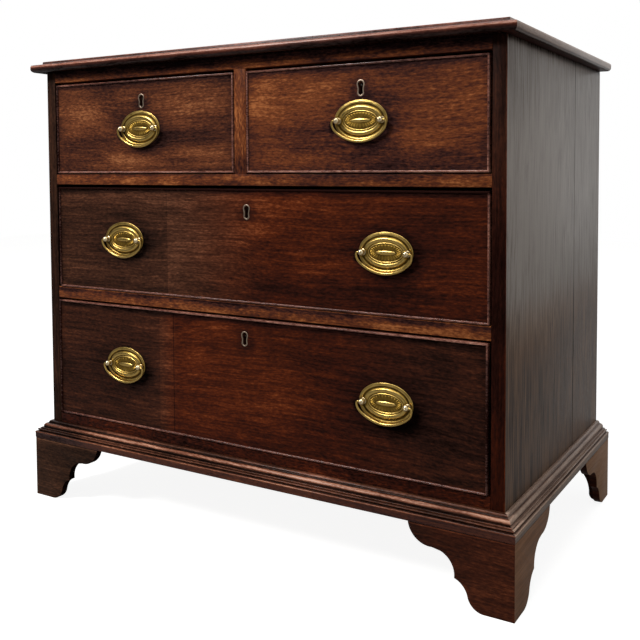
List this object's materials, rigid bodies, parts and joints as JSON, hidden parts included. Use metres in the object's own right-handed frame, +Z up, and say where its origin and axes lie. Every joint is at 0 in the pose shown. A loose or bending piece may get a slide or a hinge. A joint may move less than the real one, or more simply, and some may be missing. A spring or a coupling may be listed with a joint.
{
  "type": "bachelors chest of drawers",
  "caption": "Low mahogany bachelors chest on bracket feet with a moulded top, short drawers over long ones, cockbeaded fronts, oval swinging bail handles and keyhole plates.",
  "frame": {"origin": "middle of the bounding box at floor level, under the middle of the chest", "axes": "+Z up, the drawer fronts face -Y, +X to the right as seen from the front; width runs along X, depth along Y and height along Z"},
  "size_m": [0.926, 0.499, 0.791],
  "materials": {
    "case_mahogany": "french polish",
    "top_mahogany": "french polish",
    "drawer_mahogany": "french polish",
    "bead_mahogany": "worn polish",
    "oak": "bare, aged",
    "pine": "bare, aged",
    "brass": "old polish",
    "lock_iron": "dull"
  },
  "bodies": {
    "case": {"top_board": "top_mahogany", "side_left": "case_mahogany", "side_right": "case_mahogany", "back_boards": "pine", "bottom_board": "pine", "top_rail": "case_mahogany", "upper_rail": "case_mahogany", "lower_rail": "case_mahogany", "bottom_rail": "case_mahogany", "muntin": "case_mahogany", "centre_guide": "pine", "drawer_runners": "pine", "dust_boards": "pine", "drawer_stops": "pine", "base_moulding_front": "case_mahogany", "base_moulding_left": "case_mahogany", "base_moulding_right": "case_mahogany", "foot_front_left": "case_mahogany", "foot_front_right": "case_mahogany", "foot_back_left": "case_mahogany", "foot_back_right": "case_mahogany", "foot_blocks": "pine"},
    "left_short_drawer": {"left_short_drawer_front": "drawer_mahogany", "left_short_drawer_cockbead": "bead_mahogany", "left_short_drawer_box": "oak", "left_short_drawer_bottom": "oak", "left_short_drawer_lock": "lock_iron", "left_short_drawer_brass_plates": "brass", "left_short_drawer_handle_posts": "brass"},
    "left_short_drawer_lock_bolt": {"left_short_drawer_lock_bolt": "lock_iron"},
    "right_short_drawer": {"right_short_drawer_front": "drawer_mahogany", "right_short_drawer_cockbead": "bead_mahogany", "right_short_drawer_box": "oak", "right_short_drawer_bottom": "oak", "right_short_drawer_lock": "lock_iron", "right_short_drawer_brass_plates": "brass", "right_short_drawer_handle_posts": "brass"},
    "right_short_drawer_lock_bolt": {"right_short_drawer_lock_bolt": "lock_iron"},
    "middle_drawer": {"middle_drawer_front": "drawer_mahogany", "middle_drawer_cockbead": "bead_mahogany", "middle_drawer_box": "oak", "middle_drawer_bottom": "oak", "middle_drawer_lock": "lock_iron", "middle_drawer_brass_plates": "brass", "middle_drawer_handle_posts": "brass"},
    "middle_drawer_lock_bolt": {"middle_drawer_lock_bolt": "lock_iron"},
    "bottom_drawer": {"bottom_drawer_front": "drawer_mahogany", "bottom_drawer_cockbead": "bead_mahogany", "bottom_drawer_box": "oak", "bottom_drawer_bottom": "oak", "bottom_drawer_lock": "lock_iron", "bottom_drawer_brass_plates": "brass", "bottom_drawer_handle_posts": "brass"},
    "bottom_drawer_lock_bolt": {"bottom_drawer_lock_bolt": "lock_iron"},
    "left_short_drawer_bail": {"left_short_drawer_bail": "brass"},
    "right_short_drawer_bail": {"right_short_drawer_bail": "brass"},
    "middle_drawer_left_bail": {"middle_drawer_left_bail": "brass"},
    "middle_drawer_right_bail": {"middle_drawer_right_bail": "brass"},
    "bottom_drawer_left_bail": {"bottom_drawer_left_bail": "brass"},
    "bottom_drawer_right_bail": {"bottom_drawer_right_bail": "brass"}
  },
  "joints": [
    {"name": "left_short_drawer_slide", "type": "slide", "parent": "case", "child": "left_short_drawer", "axis": [0, -1, 0], "range_m": [0, 0.32]},
    {"name": "left_short_drawer_lock_bolt_slide", "type": "slide", "parent": "left_short_drawer", "child": "left_short_drawer_lock_bolt", "axis": [0, 0, 1], "range_m": [0, 0.009]},
    {"name": "right_short_drawer_slide", "type": "slide", "parent": "case", "child": "right_short_drawer", "axis": [0, -1, 0], "range_m": [0, 0.32]},
    {"name": "right_short_drawer_lock_bolt_slide", "type": "slide", "parent": "right_short_drawer", "child": "right_short_drawer_lock_bolt", "axis": [0, 0, 1], "range_m": [0, 0.009]},
    {"name": "middle_drawer_slide", "type": "slide", "parent": "case", "child": "middle_drawer", "axis": [0, -1, 0], "range_m": [0, 0.32]},
    {"name": "middle_drawer_lock_bolt_slide", "type": "slide", "parent": "middle_drawer", "child": "middle_drawer_lock_bolt", "axis": [0, 0, 1], "range_m": [0, 0.009]},
    {"name": "bottom_drawer_slide", "type": "slide", "parent": "case", "child": "bottom_drawer", "axis": [0, -1, 0], "range_m": [0, 0.32]},
    {"name": "bottom_drawer_lock_bolt_slide", "type": "slide", "parent": "bottom_drawer", "child": "bottom_drawer_lock_bolt", "axis": [0, 0, 1], "range_m": [0, 0.009]},
    {"name": "left_short_drawer_bail_hinge", "type": "hinge", "parent": "left_short_drawer", "child": "left_short_drawer_bail", "pos_m": [-0.21225, -0.2345, 0.665], "axis": [-1, 0, 0], "range_deg": [0, 170]},
    {"name": "right_short_drawer_bail_hinge", "type": "hinge", "parent": "right_short_drawer", "child": "right_short_drawer_bail", "pos_m": [0.21825, -0.2345, 0.665], "axis": [-1, 0, 0], "range_deg": [0, 170]},
    {"name": "middle_drawer_left_bail_hinge", "type": "hinge", "parent": "middle_drawer", "child": "middle_drawer_left_bail", "pos_m": [-0.253, -0.2345, 0.476], "axis": [-1, 0, 0], "range_deg": [0, 170]},
    {"name": "middle_drawer_right_bail_hinge", "type": "hinge", "parent": "middle_drawer", "child": "middle_drawer_right_bail", "pos_m": [0.259, -0.2345, 0.476], "axis": [-1, 0, 0], "range_deg": [0, 170]},
    {"name": "bottom_drawer_left_bail_hinge", "type": "hinge", "parent": "bottom_drawer", "child": "bottom_drawer_left_bail", "pos_m": [-0.253, -0.2345, 0.259], "axis": [-1, 0, 0], "range_deg": [0, 170]},
    {"name": "bottom_drawer_right_bail_hinge", "type": "hinge", "parent": "bottom_drawer", "child": "bottom_drawer_right_bail", "pos_m": [0.259, -0.2345, 0.259], "axis": [-1, 0, 0], "range_deg": [0, 170]}
  ]
}
